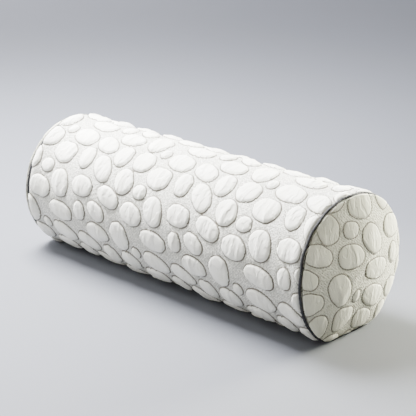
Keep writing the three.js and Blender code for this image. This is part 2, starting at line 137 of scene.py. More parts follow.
class Pebble:
    """One repeat of a pebble on the cloth, with its own uneven outline and folds."""

    def __init__(self, shape, du, dv):
        self.u, self.v, self.length, self.width, tilt, self.egg = shape
        self.length, self.width = PEBBLE_FILL * self.length, PEBBLE_FILL * self.width
        self.u, self.v = self.u + du, self.v + dv
        self.cos, self.sin = math.cos(math.radians(tilt)), math.sin(math.radians(tilt))
        self.waves = [(k, rng.normal() * WOBBLE / math.sqrt(k), rng.uniform(0, math.tau))
                      for k in range(2, 10)]
        self.folds = [(rng.uniform(-0.55, 0.55), rng.uniform(-0.25, 0.25), rng.uniform(0.35, 1.0),
                       rng.uniform(1.3, 3.2), rng.uniform(0, 6)) for _ in range(rng.integers(1, 4))]
        self.lift = rng.uniform(-0.25, 0.25)

    def wobble(self, angle):
        return 1 + sum(size * np.cos(k * angle + phase) for k, size, phase in self.waves)

    def distance(self, u, v):
        """Distance inside the outline, negative outside it."""
        a, b = u - self.u, v - self.v
        along, across = a * self.cos + b * self.sin, b * self.cos - a * self.sin
        x = along / self.length
        y = across / self.width / (1 - self.egg * np.clip(x, -1.5, 1.5))
        n = PEBBLE_POWER
        level = (np.abs(x) ** n + np.abs(y) ** n) ** (1 / n) / self.wobble(np.arctan2(y, x))
        slope = np.sqrt((along / self.length ** 2) ** 2 + (across / self.width ** 2) ** 2) + 1e-6
        return (1 - level) * np.maximum(level, 0.2) / slope

    def outline(self, steps=240):
        """Cloth points along the outline and the length up to each of them."""
        angle = circle(steps)
        n = PEBBLE_POWER
        size = self.wobble(angle) / (np.abs(np.cos(angle)) ** n + np.abs(np.sin(angle)) ** n) ** (1 / n)
        x, y = size * np.cos(angle), size * np.sin(angle)
        along, across = x * self.length, y * self.width * (1 - self.egg * x)
        u = self.u + along * self.cos - across * self.sin
        v = self.v + along * self.sin + across * self.cos
        u, v = np.append(u, u[0]), np.append(v, v[0])
        return u, v, np.concatenate([[0], np.cumsum(np.hypot(np.diff(u), np.diff(v)))])

    def crease(self, u, v):
        """Sharp ridges that run around the bolster across the pebble."""
        total = np.zeros(u.shape)
        for offset, lean, height, width, phase in self.folds:
            bend = 0.5 * np.sin(0.35 * (v - self.v) + phase)
            x = u - self.u - offset * self.length * max(abs(self.cos), 0.6) - lean * (v - self.v) - bend
            total += height * np.exp(-np.sqrt(x * x + 0.1) / width)
        return total


def instances(u_range, v_range):
    """Every repeat of every pebble that reaches into a range of the cloth."""
    found = []
    for i in range(math.floor(u_range[0] / REPEAT_U) - 2, math.ceil(u_range[1] / REPEAT_U) + 2):
        for j in range(math.floor(v_range[0] / REPEAT_V) - 2, math.ceil(v_range[1] / REPEAT_V) + 2):
            for shape in PEBBLES:
                du, dv = i * REPEAT_U, j * REPEAT_V - SKEW * i * REPEAT_U
                u, v = shape[0] + du, shape[1] + dv
                if (u_range[0] - NEIGHBOUR < u < u_range[1] + NEIGHBOUR
                        and v_range[0] - NEIGHBOUR < v < v_range[1] + NEIGHBOUR):
                    found.append(Pebble(shape, du, dv))
    return found


def risen(distance, run, power=1.0):
    """How far cloth has come up, from 0 towards 1, by its distance from where it is held down."""
    return 1 - np.exp(-(distance / run) ** power)


def quilt(u, v, pebbles):
    """Signed distance to the nearest stitched outline and the puff of the cloth, at cloth points."""
    signed = np.full(u.shape, FAR_OUTSIDE)
    fold = np.zeros(u.shape)
    for pebble in pebbles:
        reach = pebble.length * 1.15 + 3
        near = (np.abs(u - pebble.u) < reach) & (np.abs(v - pebble.v) < reach)
        if not near.any():
            continue
        distance = pebble.distance(u[near], v[near])
        signed[near] = np.maximum(signed[near], distance)
        ridges = (pebble.crease(u[near], v[near]) + pebble.lift) * risen(np.maximum(distance, 0), FOLD_RUN)
        fold[near] += np.where(distance > 0, ridges, 0)
    inside = np.maximum(signed, 0)
    outside = np.maximum(-signed, 0)
    puff = WALL_HEIGHT * risen(inside, SHOULDER, SHOULDER_POWER) + CROWN_HEIGHT * risen(inside, CROWN_RUN)
    puff += GROUND_HEIGHT * risen(outside, GROUND_RUN)
    return signed, puff + fold


def snap_to_lines(u, v, pebbles):
    """Moves mesh points near a stitched line onto it or a wall's width from it, to keep it crisp."""
    step = 0.05
    signed, _ = quilt(u, v, pebbles)
    slope_u = (quilt(u + step, v, pebbles)[0] - signed) / step
    slope_v = (quilt(u, v + step, pebbles)[0] - signed) / step
    steep = slope_u ** 2 + slope_v ** 2
    least, most = 0.4, 2.5  # outside these the slope doesn't lead to the line
    goal = np.clip(np.round(signed / WALL_WIDTH), -1, 1) * WALL_WIDTH
    near = (np.abs(signed) < 1.5 * WALL_WIDTH) & (steep > least) & (steep < most)
    shift = np.where(near, (goal - signed) / np.clip(steep, least, most), 0)
    return u + shift * slope_u, v + shift * slope_v


# ---- the pressed round section


def pressed_share(angle, rise):
    """The share of its round radius that a point keeps, by its angle from below."""
    widest_flat = 1.2  # the flat and its fillet end well inside this angle
    depth = CENTRE_HEIGHT - rise
    arm = BODY_RADIUS - PRESSED_FILLET
    fillet_y = np.sqrt(arm ** 2 - (depth - PRESSED_FILLET) ** 2)
    fillet_angle = np.arctan2(fillet_y, depth - PRESSED_FILLET)
    safe = np.minimum(angle, widest_flat)
    on_flat = depth / np.cos(safe) / BODY_RADIUS
    across = arm * np.sin(fillet_angle - safe)
    along = arm * np.cos(fillet_angle - safe)
    on_fillet = (along + np.sqrt(np.maximum(PRESSED_FILLET ** 2 - across ** 2, 0))) / BODY_RADIUS
    share = np.where(depth * np.tan(safe) <= fillet_y, on_flat, on_fillet)
    return np.where(angle >= fillet_angle, 1.0, share)


def rise_at(x):
    """How far the section's flat is off the floor, which it is only beside the seams."""
    ramp_end = BODY_END_X - CORNER_RADIUS
    share = np.clip((np.abs(x) - ramp_end + REST_RAMP) / REST_RAMP, 0, 1)
    return SEAM_RISE * share * share * (3 - 2 * share)


def place(x, radius, phi):
    """Points of the bolster: their place along it, round radius and angle from top to front."""
    turn = np.abs((phi + math.pi) % math.tau - math.pi)
    share = pressed_share(math.pi - turn, rise_at(x))
    y = -radius * share * np.sin(phi)
    z = CENTRE_HEIGHT + radius * share * np.cos(phi)
    return joined(x, y, np.maximum(z, LOWEST))


# ---- mesh helpers


def circle(turns):
    return np.linspace(0, math.tau, turns, endpoint=False)


def vertices_mm(thing):
    return np.array([v.co for v in thing.data.vertices]) / MM


def add_object(name, data):
    thing = bpy.data.objects.new(name, data)
    bpy.context.scene.collection.objects.link(thing)
    return thing


def new_mesh(name, points, faces):
    """A smooth object from points in millimetres and faces of one size."""
    mesh = bpy.data.meshes.new(name)
    count, sides = faces.shape
    mesh.vertices.add(points.size // 3)
    mesh.vertices.foreach_set("co", (points * MM).ravel())
    mesh.loops.add(count * sides)
    mesh.loops.foreach_set("vertex_index", faces.ravel().astype(np.int32))
    mesh.polygons.add(count)
    mesh.polygons.foreach_set("loop_start", np.arange(0, count * sides, sides, dtype=np.int32))
    mesh.polygons.foreach_set("loop_total", np.full(count, sides, dtype=np.int32))
    mesh.polygons.foreach_set("use_smooth", np.full(count, True))
    mesh.update(calc_edges=True)
    mesh.validate()
    return add_object(name, mesh)


def grid_faces(rows, columns, wrap_rows=False, wrap_columns=False, flip=False):
    """Four-sided faces between the points of a grid, which may close on itself either way."""
    this = np.arange(rows if wrap_rows else rows - 1)[:, None]
    j = np.arange(columns if wrap_columns else columns - 1)
    low, high, after = this * columns, (this + 1) % rows * columns, (j + 1) % columns
    corners = (low + j, low + after, high + after, high + j)
    return joined(*(corners[::-1] if flip else corners)).reshape(-1, 4)


def add_cloth(thing, values):
    """Gives every point its place on the cloth, in millimetres, for the materials."""
    attribute = thing.data.attributes.new("cloth", "FLOAT_VECTOR", "POINT")
    attribute.data.foreach_set("vector", values.ravel())


def outline_stitches(pebbles):
    """Start, middle and end of every stitch on the pebbles' outlines, as cloth points."""
    triples = []
    for pebble in pebbles:
        u, v, length = pebble.outline()
        count = max(8, round(length[-1] / STITCH_PITCH))
        starts = np.arange(count) * length[-1] / count
        ends = []
        for share in (0.0, 0.5, 1.0):
            at = (starts + share * STITCH_LENGTH) % length[-1]
            ends.append(joined(np.interp(at, length, u), np.interp(at, length, v)))
        triples.append(np.stack(ends, axis=1))
    return np.concatenate(triples)


def thread_mesh(name, start, middle, end, outward):
    """Short tapered stitches through three points each."""
    along = end - start
    along /= np.linalg.norm(along, axis=1, keepdims=True) + 1e-9
    side = np.cross(outward, along)
    side /= np.linalg.norm(side, axis=1, keepdims=True) + 1e-9
    up = np.cross(along, side)
    rings = []
    # each ring's middle, and its thickness and lift as shares of the thread's thickness
    for centre, size, lift in (
            (start, 0.45, -0.3), (start * 0.6 + middle * 0.4, 1.0, 0.25), (middle, 1.1, 0.4),
            (end * 0.6 + middle * 0.4, 1.0, 0.25), (end, 0.45, -0.3)):
        radius = STITCH_THICKNESS / 2 * size
        for turn in range(THREAD_SIDES):
            angle = math.tau * turn / THREAD_SIDES
            rings.append(centre + lift * STITCH_THICKNESS * up
                         + radius * (math.cos(angle) * side + 0.8 * math.sin(angle) * up))
    points = np.stack(rings, axis=1)
    count = len(start)
    base = (np.arange(count) * len(rings))[:, None, None]
    i = np.arange(len(rings) // THREAD_SIDES - 1)[:, None] * THREAD_SIDES
    j = np.arange(THREAD_SIDES)[None, :]
    after = (j + 1) % THREAD_SIDES
    quad = joined(i + j, i + after, i + THREAD_SIDES + after, i + THREAD_SIDES + j)
    thing = new_mesh(name, points, (base + quad.reshape(1, -1, 4)).reshape(-1, 4))
    add_cloth(thing, vertices_mm(thing))
    return thing


# ---- materials

HOLE_PITCH = 2.2
WALE_PITCH = 0.95
COURSE_PITCH = 1.1


class Shader:
    """A material's node tree, built by calls that name a node's inputs, or number them as i0, i1."""

    def __init__(self, name):
        self.material = bpy.data.materials.new(name)
        self.material.use_nodes = True
        self.tree = self.material.node_tree
        self.surface = self.tree.nodes["Principled BSDF"]

    def node(self, kind, settings=None, **inputs):
        made = self.tree.nodes.new("ShaderNode" + kind)
        for key, value in (settings or {}).items():
            setattr(made, key, value)
        for key, value in inputs.items():
            numbered = key[0] == "i" and key[1:].isdigit()
            self.put(made.inputs[int(key[1:]) if numbered else key], value)
        return made

    def put(self, socket, value):
        if isinstance(value, bpy.types.NodeSocket):
            self.tree.links.new(value, socket)
        else:
            socket.default_value = value

    def math(self, operation, a, b=0.0, c=0.0):
        return self.node("Math", {"operation": operation}, i0=a, i1=b, i2=c).outputs[0]

    def times(self, a, b):
        return self.math("MULTIPLY", a, b)

    def mix(self, share, a, b):
        mixed = self.node("Mix", {"data_type": "RGBA"}, Factor=share)
        self.put(mixed.inputs[6], a)
        self.put(mixed.inputs[7], b)
        return mixed.outputs[2]

    def ramp(self, value, low, high):
        """0 where value is at low, 1 where it is at high, smooth between them."""
        made = self.node("MapRange", {"interpolation_type": "SMOOTHSTEP"}, Value=value)
        self.put(made.inputs["From Min"], low)
        self.put(made.inputs["From Max"], high)
        return made.outputs[0]

    def surface_is(self, **values):
        """Sets or links the surface's own inputs."""
        for key, value in values.items():
            self.put(self.surface.inputs[key.replace("_", " ")], value)


def rgb(r, g, b):
    """A display colour as the linear one that shaders take."""
    return (*[((c + 0.055) / 1.055) ** 2.4 if c > 0.04045 else c / 12.92 for c in (r, g, b)], 1.0)


def flat_noise(s, place_at, scale, detail):
    """Cloudy noise over the cloth, from 0 to 1."""
    noise = s.node("TexNoise", {"noise_dimensions": "2D"}, Vector=place_at, Scale=scale,
                   Detail=detail)
    return noise.outputs["Fac"]


def quilt_material(name, light, shade, grain_share):
    """The pebbled double knit: the tones of its cloth and how much the ground's grain shows."""
    s = Shader(name)
    cloth = s.node("Attribute", {"attribute_name": "cloth"}).outputs["Vector"]
    u, v, signed = s.node("SeparateXYZ", i0=cloth).outputs
    flat = s.node("CombineXYZ", i0=u, i1=v).outputs[0]
    pebble = s.ramp(signed, -0.15, 0.5)
    ground = s.math("SUBTRACT", 1.0, pebble)

    # pin holes of the ground, in a diamond lattice
    turned = s.node("VectorRotate", {"rotation_type": "Z_AXIS"}, Vector=flat, Angle=math.pi / 4)
    holes = s.node("TexVoronoi", {"voronoi_dimensions": "2D"}, Vector=turned.outputs[0],
                   Scale=1 / HOLE_PITCH, Randomness=0.15)
    hole_on_ground = s.times(s.ramp(holes.outputs["Distance"], 0.34, 0.16), ground)
    grain = s.times(s.ramp(flat_noise(s, flat, 0.45, 4.0), 0.44, 0.58), ground)

    # fine jersey loops of the pebbles: narrow wales with a small zigzag
    zigzag = s.times(s.math("PINGPONG", v, COURSE_PITCH / 2), 0.9)
    wale = s.math("SINE", s.times(s.math("ADD", u, zigzag), math.tau / WALE_PITCH))
    course = s.math("SINE", s.times(v, math.tau / COURSE_PITCH))
    knit = s.math("ADD", s.times(wale, 0.5), s.times(course, 0.25))
    fuzz = flat_noise(s, flat, 1.6, 2.0)

    # short folds across each pebble, where the knit is drawn in by its outline
    drawn = s.node("CombineXYZ", i0=s.times(u, 0.14),
                   i1=s.times(v, 0.055)).outputs[0]
    fold = s.times(s.ramp(flat_noise(s, drawn, 1.0, 2.0), 0.48, 0.58), pebble)

    # tone: the cloth, then the grain, holes and fuzz over it, then a grey-brown along the stitched lines
    # that is partly the thread's colour and partly painted shade in the grooves
    tone = s.mix(s.ramp(flat_noise(s, flat, 0.05, 3.0), 0.3, 0.7), shade, light)
    # along each stitched line the cloth is darkened: partly the grey-brown of the thread, partly painted
    # shade where the groove lies
    line_thread_and_shade = s.ramp(s.math("ABSOLUTE", signed), 0.95, 0.35)
    for share, strength, colour in (
            (grain, 0.42 * grain_share, rgb(0.6, 0.59, 0.55)),
            (hole_on_ground, 0.32 * grain_share, rgb(0.45, 0.44, 0.4)),
            (s.ramp(fuzz, 0.35, 0.75), 0.10, rgb(0.84, 0.83, 0.79)),
            # the stitched lines' grey-brown, darkened further as painted groove shade
            (line_thread_and_shade, 0.55 + 0.3 * grain_share, rgb(0.36, 0.33, 0.27))):
        tone = s.mix(s.times(share, strength), tone, colour)

    # relief, in millimetres
    knit_on_pebble = s.times(knit, s.times(pebble, 0.045))
    height = s.math("SUBTRACT", knit_on_pebble, s.times(hole_on_ground, 0.35))
    height = s.math("SUBTRACT", height, s.times(grain, 0.5 + 0.8 * grain_share))
    height = s.math("ADD", height, s.times(fuzz, 0.12))
    height = s.math("ADD", height, s.times(fold, 0.25 + 0.3 * grain_share))
    bump = s.node("Bump", Height=height, Distance=MM, Strength=0.8)
    s.surface_is(Base_Color=tone, Roughness=0.88, Normal=bump.outputs[0], Sheen_Weight=0.25,
                 Sheen_Roughness=0.5, Specular_IOR_Level=0.25)
    return s.material


def cloth_material(name, dark, light, pitch, roughness=0.8, sheen=0.3, slant=1.0, source="cloth"):
    """A woven or twilled cloth, by the cloth attribute in millimetres or by object coordinates."""
    s = Shader(name)
    if source == "cloth":
        cloth = s.node("Attribute", {"attribute_name": "cloth"}).outputs["Vector"]
    else:
        place_at = s.node("TexCoord").outputs["Object"]
        cloth = s.node("Mapping", Vector=place_at, Scale=(1000, 1000, 1000)).outputs[0]
    u, v, _ = s.node("SeparateXYZ", i0=cloth).outputs
    turn = math.tau / pitch
    warp = s.math("SINE", s.times(s.math("MULTIPLY_ADD", v, slant, u), turn))
    weft = s.math("SINE", s.times(s.math("MULTIPLY_ADD", u, -slant * 0.5, v), turn))
    weave = s.math("MULTIPLY_ADD", s.math("ADD", warp, s.times(weft, 0.6)), 0.3, 0.5)
    slub = s.node("TexNoise", {"noise_dimensions": "3D"}, Vector=cloth, Scale=0.35, Detail=4.0)
    tone = s.math("MULTIPLY_ADD", slub.outputs["Fac"], 0.5, s.times(weave, 0.5))
    bump = s.node("Bump", Height=weave, Distance=0.12 * MM, Strength=0.6)
    s.surface_is(Base_Color=s.mix(tone, dark, light), Roughness=roughness, Normal=bump.outputs[0],
                 Sheen_Weight=sheen, Specular_IOR_Level=0.3)
    return s.material


def solid_material(name, dark, light, roughness, metallic, grain, bump_mm, stretch=(1, 1, 1)):
    """A plain finish with fine variation of tone, gloss and surface."""
    s = Shader(name)
    place_at = s.node("TexCoord").outputs["Object"]
    mapped = s.node("Mapping", Vector=place_at, Scale=stretch)
    fine = s.node("TexNoise", Vector=mapped.outputs[0], Scale=grain, Detail=3.0)
    broad = s.node("TexNoise", Vector=place_at, Scale=grain / 9, Detail=2.0)
    gloss = s.math("MULTIPLY_ADD", broad.outputs["Fac"], 0.16, roughness - 0.08)
    bump = s.node("Bump", Height=fine.outputs["Fac"], Distance=bump_mm * MM, Strength=0.8)
    tone = s.math("MULTIPLY_ADD", fine.outputs["Fac"], 0.5, s.times(broad.outputs["Fac"], 0.5))
    s.surface_is(Base_Color=s.mix(tone, dark, light), Roughness=gloss, Normal=bump.outputs[0],
                 Metallic=metallic)
    return s.material


QUILT = quilt_material("quilted_knit", rgb(0.97, 0.965, 0.93), rgb(0.95, 0.945, 0.9), 1.0)
# the ends get a copy of the body's knit that is darker and yellower, painted warm shade standing in for
# the warm light that falls on them, and with less grain
END_QUILT_PAINTED_WARM_LIGHT = quilt_material("quilted_knit_end_painted_warm_light", rgb(0.95, 0.945, 0.865), rgb(0.93, 0.925, 0.84), 0.25)
PIPING = cloth_material("piping_cloth", rgb(0.1, 0.1, 0.11), rgb(0.25, 0.25, 0.265), 0.7, 0.75, 0.06)
LINER = cloth_material("liner_cloth", rgb(0.86, 0.86, 0.84), rgb(0.96, 0.96, 0.95), 0.8, 0.85, 0.1)
CORD = cloth_material("filler_cord", rgb(0.8, 0.79, 0.75), rgb(0.93, 0.92, 0.89), 0.9, 0.85, 0.1, 2.0)
TAPE = cloth_material("zip_tape_weave", rgb(0.8, 0.8, 0.78), rgb(0.94, 0.94, 0.92), 0.9, 0.7, 0.1,
                      source="object")
LABEL = cloth_material("label_satin", rgb(0.9, 0.9, 0.88), rgb(0.98, 0.98, 0.97), 0.35, 0.35, 0.1, 0.2,
                       source="object")
FOAM = solid_material("memory_foam_pores", rgb(0.86, 0.8, 0.66), rgb(0.96, 0.92, 0.8), 0.9, 0.0, 700.0,
                      0.25)
NYLON = solid_material("zip_nylon", rgb(0.8, 0.8, 0.78), rgb(0.93, 0.93, 0.91), 0.38, 0.0, 1500.0, 0.01)
METAL = solid_material("brushed_nickel", rgb(0.6, 0.61, 0.62), rgb(0.82, 0.82, 0.83), 0.30, 1.0, 1800.0,
                       0.01, (0.15, 1, 1))
SEAM_THREAD = cloth_material("seam_thread", rgb(0.84, 0.83, 0.79), rgb(0.95, 0.94, 0.91), 0.35, 0.6, 0.2)
THREAD = cloth_material("quilting_thread", rgb(0.4, 0.37, 0.32), rgb(0.58, 0.55, 0.49), 0.35, 0.6, 0.1)


def paint(thing, material):
    thing.data.materials.clear()
    thing.data.materials.append(material)


def dress(thing, material, slot, *nodes, body="pillow"):
    """Gives a piece its material and body, and hides the CAD nodes that it replaces. The slot is not used.
    """
    paint(thing, material)
    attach(thing, body)
    if nodes:
        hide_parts(*nodes)


# ---- cover body

SLOT_HALF = 5.4  # of the cloth's opening over the zip
SLOT_CLOSED = 0.15
SLOT_END = 10.0  # over which the opening closes into the plain seam
HEM_RADIUS = 2.2
HEM_DROP = 0.55  # share of that radius that the cloth's edge drops
HEM_ROWS = ((3.0, 0.3), (3.2, 4.0))  # the turned-under edge: depth and distance back
TOPSTITCH = 5.5  # from the cloth's edge
TOPSTITCH_WIDTH = 0.9
TOPSTITCH_PRESS = 0.9  # share of the relief that it flattens
EDGE_STEPS = np.array([0.0, 0.45, 1.0, 1.7, 2.6])  # finer mesh beside the opening
EDGE_ROOM = 14.0  # of the way round, for the opening and those steps
CORNER_STEPS = 4
ALLOWANCE_ROWS = (2.0, 6.0)  # depths of the cloth turned in past the corner
CORNER_ROWS = CORNER_STEPS + len(ALLOWANCE_ROWS)
SEAM_RUN = 2.0  # how fast the puff comes up beside a seam
SEAM_POWER = 1.5
SEAM_FILL = 1.9  # height of the seam above the stitched depth
GATHER_RUN = 5.0  # how far from a seam its small gathers reach
THREAD_FREE = 3.0  # least distance of quilting thread from a seam,
THREAD_FREE_SLOT = 1.5  # and from the opening
THREAD_SEAM_LIFT = 1.2
DRIFT = 4.2  # of the right seam towards the middle, at most
DRIFT_PHI = 0.25 * math.pi  # at its upper front
DRIFT_WIDTH = 0.62  # in radians
DRIFT_RUN = 9.0  # how far along the cover follows it
DRAW_RIGHT = 0.55  # how far the piping is drawn in between the cloths
DRAW_LEFT = 2.0  # at most, at this angle:
DRAW_LEFT_PHI = 1.0
RIM_RIGHT, RIM_LEFT = 1.2, 2.2  # height of the cover's plump rim beside a seam
RIM_FROM_SEAM, RIM_WIDTH = 8.0, 7.0

slot_end_x = 2 - box_mm("zip_bottom_stop")[0][0]  # just past the stop, and as far at the other end


def slot_half(x):
    """Half the gap between the cloth's two edges along the back."""
    share = np.clip((slot_end_x - np.abs(x)) / SLOT_END, 0, 1)
    return SLOT_CLOSED + (SLOT_HALF - SLOT_CLOSED) * np.sqrt(1 - (1 - share) ** 2)


def body_rows():
    """Places along the bolster: x, radius, outward direction (x and radial) and cloth u."""
    straight_end = BODY_END_X - CORNER_RADIUS
    count = round(2 * straight_end / GRID)
    rows = [(x, BODY_RADIUS, 0.0, 1.0, x) for x in np.linspace(-straight_end, straight_end, count + 1)]
    corner = []
    for k in range(1, CORNER_STEPS + 1):
        turn = math.radians(90 * k / CORNER_STEPS)
        c, s = math.cos(turn), math.sin(turn)
        corner.append((straight_end + CORNER_RADIUS * s, BODY_RADIUS - CORNER_RADIUS * (1 - c), s, c,
                       straight_end + CORNER_RADIUS * turn))
    for depth in ALLOWANCE_ROWS:
        corner.append((BODY_END_X, BODY_RADIUS - CORNER_RADIUS - depth, 1.0, 0.0,
                       straight_end + CORNER_RADIUS * math.pi / 2 + depth))
    mirrored = [(-x, r, -nx, nr, -u) for x, r, nx, nr, u in reversed(corner)]
    return np.array(mirrored + rows + corner)


def seam_drift(side, phi):
    """How far the right seam was sewn towards the middle, in its upper front quarter."""
    turn = (phi - DRIFT_PHI + math.pi) % math.tau - math.pi
    return -DRIFT * np.exp(-(turn / DRIFT_WIDTH) ** 2) * (side > 0)


def seam_draw(side, phi):
    """How far the piping is drawn in between the cloths: the left one is hidden at the top."""
    return np.where(side > 0, DRAW_RIGHT, DRAW_LEFT * (0.5 + 0.5 * np.cos(phi - DRAW_LEFT_PHI)))


def seam_sway(side, phi):
    """How far the seam wanders along the bolster, with the pebbles that push on either side."""
    push = 0.45 * np.sin(phi * 11 + 2 * np.sin(phi * 3 + side)) + 0.3 * np.sin(phi * 19 + side)
    return push + seam_drift(side, phi)


def seam_share(u):
    """How far the puff has come up again, by the distance from an end seam."""
    return risen(np.maximum(BODY_END_X - np.abs(u), 0), SEAM_RUN, SEAM_POWER)


def slow_wave(u, v):
    """The cover's large soft unevenness, with a plump rim beside each end seam."""
    plump = np.where(u > 0, RIM_RIGHT, RIM_LEFT)
    rim = plump * np.exp(-((BODY_END_X - np.abs(u) - RIM_FROM_SEAM) / RIM_WIDTH) ** 2)
    # half a millimetre either way, about 150 mm along the bolster and 240 mm around it
    return rim + 0.5 * np.sin(u * 0.041 + 0.6) * np.sin(v * 0.026 + u * 0.013)


def body_grid(x):
    """Distance around the cloth from its lower edge at the zip, for each row, and its whole length."""
    length = (AROUND - 2 * slot_half(x))[:, None]
    even = np.linspace(0, 1, round((AROUND - EDGE_ROOM) / GRID))[1:-1]
    first = np.broadcast_to(EDGE_STEPS, (len(x), len(EDGE_STEPS)))
    inner = EDGE_STEPS[-1] + even * (length - 2 * EDGE_STEPS[-1])
    return np.concatenate([first, inner, length - EDGE_STEPS[::-1]], axis=1), length


def make_body():
    """The quilted cover, from one edge of the zip's opening round to the other."""
    x, radius, nx, nr, u_row = body_rows().T
    e, length = body_grid(x)
    v = (ZIP_V + slot_half(x))[:, None] + e
    u = np.broadcast_to(u_row[:, None], v.shape).copy()
    pebbles = instances((-BODY_END_X, BODY_END_X), (v.min(), v.max()))
    su, sv = snap_to_lines(u, v, pebbles)
    free = np.s_[CORNER_ROWS:-CORNER_ROWS, len(EDGE_STEPS):-len(EDGE_STEPS)]
    u[free], v[free] = su[free], sv[free]
    signed, puff = quilt(u, v, pebbles)
    edge = np.minimum(e, length - e)
    puff = puff * (1 - TOPSTITCH_PRESS * np.exp(-((edge - TOPSTITCH) / TOPSTITCH_WIDTH) ** 2))
    gather = 0.28 * np.sin(v * 0.9 + 1.7 * np.sin(v * 0.21))
    gather = gather * np.exp(-np.maximum(BODY_END_X - np.abs(u), 0) / GATHER_RUN)
    share = seam_share(u)
    height = -STITCH_DEPTH + share * (puff + gather + slow_wave(u, v)) + (1 - share) * SEAM_FILL
    fold = np.clip(1 - edge / HEM_RADIUS, 0, 1)
    height = height - HEM_RADIUS * HEM_DROP * (1 - np.sqrt(np.maximum(1 - fold ** 2, 0)))
    row_x = x[:, None] + (u - u_row[:, None]) * nr[:, None]
    phi = v / BODY_RADIUS
    near_seam = np.exp(-np.maximum(BODY_END_X - u, 0) / DRIFT_RUN)
    px = row_x + nx[:, None] * height + seam_drift(1, phi) * near_seam
    pr = radius[:, None] + nr[:, None] * height
    # the cloth's edges turn in under themselves beside the zip
    hems = []
    for side, at in ((1, 0), (-1, -1)):
        for depth, back in HEM_ROWS:
            hem_r = np.minimum(pr[:, at], radius - depth * nr)
            hems.append(place(px[:, at], hem_r, (v[:, at] + side * back) / BODY_RADIUS)[:, None])
    points = np.concatenate([hems[1], hems[0], place(px, pr, phi), hems[2], hems[3]], axis=1)
    cloth = np.pad(joined(u, v, signed), ((0, 0), (2, 2), (0, 0)), mode="edge")
    thing = new_mesh("cover_body", points, grid_faces(*points.shape[:2]))
    add_cloth(thing, cloth)
    return thing, pebbles


body_cover, body_pebbles = make_body()
dress(body_cover, QUILT, "quilted_knit", "cover_body_panel")


def body_stitches():
    """Quilting thread on the body."""
    stitches = outline_stitches(body_pebbles)
    middle_u, middle_v = stitches[:, 1, 0], stitches[:, 1, 1]
    from_edge = np.minimum(middle_v - ZIP_V, ZIP_V + AROUND - middle_v)
    keep = ((np.abs(middle_u) < BODY_END_X - THREAD_FREE)
            & (from_edge > slot_half(middle_u) + THREAD_FREE_SLOT))
    stitches = stitches[keep]
    points = []
    for k in range(3):
        u, v = stitches[:, k, 0], stitches[:, k, 1]
        share = seam_share(u)
        lift = -STITCH_DEPTH + THREAD_LIFT + share * slow_wave(u, v) + (1 - share) * THREAD_SEAM_LIFT
        points.append(place(u, BODY_RADIUS + lift, v / BODY_RADIUS))
    outward = points[1] - np.array([0, 0, CENTRE_HEIGHT])
    outward[:, 0] = 0
    outward /= np.linalg.norm(outward, axis=1, keepdims=True)
    return thread_mesh("quilting_thread_body", *points, outward)


dress(body_stitches(), THREAD, "quilted_knit")

# ---- cover ends

END_DOME = END_TOP_X - END_START_X
DOME_POWER = 1.5  # how an end's crown falls to its rim: 1 is an ellipse, 2 a parabola
END_FOLD = 2.6  # of the lip that turns in to the seam
END_TURN_IN = 3.2
END_PUFF = 0.38  # share of the body's relief: the ends are drawn tighter
END_DRAWN = 7.0  # how far the right end's cloth is drawn to the front where it is slack
END_SETTLED = 0.55  # share of the crown's height lost there
END_RINGS = 58
END_TURNS = 330
END_MIDDLE = {1: (122.5, 119.4), -1: (183.5, 156.4)}  # the cloth point in the middle of each end
END_SEAM_START = 1.0  # where the puff begins to come up,
END_SEAM_RUN = 2.5  # and how fast
END_SEAM_FILL = 0.9
END_GATHER_RUN = 6.0
END_THREAD_FREE = 3.5
SLACK_UP = 0.2  # how the right end's slack grows upwards
SLACK_FRONT = 0.16  # and to the front,
SLACK_BACK = 15.0  # no further back than this,
SLACK_START = 0.5  # from here
SLACK_FULL = 13.0  # over this much
SETTLE_FROM_X = 140.0  # where layers begin to follow the drawn seam
SETTLE_RUN = 50.0
CROWN_STEPS = 400  # of the curve that a profile is measured along
LIP_STEPS = 60


def end_profile():
    """From an end's middle to its seam: x above the seam, radius, outward direction, cloth distance."""
    turn = np.linspace(math.pi / 2, 0, CROWN_STEPS)
    crown_r = END_REACH * np.cos(turn)
    crown_x = END_FOLD + (END_DOME - END_FOLD) * np.sin(turn) ** DOME_POWER
    lip = np.linspace(0, math.pi / 2, LIP_STEPS)[1:]
    x = np.concatenate([crown_x, END_FOLD * np.cos(lip)])
    r = np.concatenate([crown_r, END_REACH - END_TURN_IN * (1 - np.cos(lip))])
    length = np.concatenate([[0], np.cumsum(np.hypot(np.diff(x), np.diff(r)))])
    at = np.linspace(0, length[-1], END_RINGS)
    px, pr = np.interp(at, length, x), np.interp(at, length, r)
    tx, tr = np.gradient(px, at), np.gradient(pr, at)
    # the pattern keeps its size across the end, and the lip goes on at the cloth's own length
    rim = length[CROWN_STEPS - 1]
    cloth = np.where(at <= rim, pr, END_REACH + at - rim)
    return (px, pr, tr, -tx), cloth


END_SECTION, END_DISTANCE = end_profile()


def end_section(distance):
    """x above the seam, radius and outward direction, at cloth distances from an end's middle."""
    return [np.interp(distance, END_DISTANCE, values) for values in END_SECTION]


def end_slack(y, z):
    """How much the filling has settled away from the right end's upper front, from 0 to 1."""
    slack = SLACK_UP * z - SLACK_FRONT * np.minimum(y, SLACK_BACK) - SLACK_START
    return np.clip(slack / SLACK_FULL, 0, 1)


def settle(points):
    """Moves points of the right end, of any layer, with its settled filling and drawn seam."""
    x, y, z = points[..., 0], points[..., 1], points[..., 2] - CENTRE_HEIGHT
    x = x - END_SETTLED * end_slack(y, z) * np.maximum(x - END_START_X - END_FOLD, 0)
    near_rim = np.clip(np.hypot(y, z) / END_REACH, 0, 1) ** 3
    near_rim = near_rim * np.clip((x - SETTLE_FROM_X) / SETTLE_RUN, 0, 1)
    x = x + seam_drift(1, np.arctan2(-y, z)) * near_rim
    return joined(x, points[..., 1], points[..., 2])


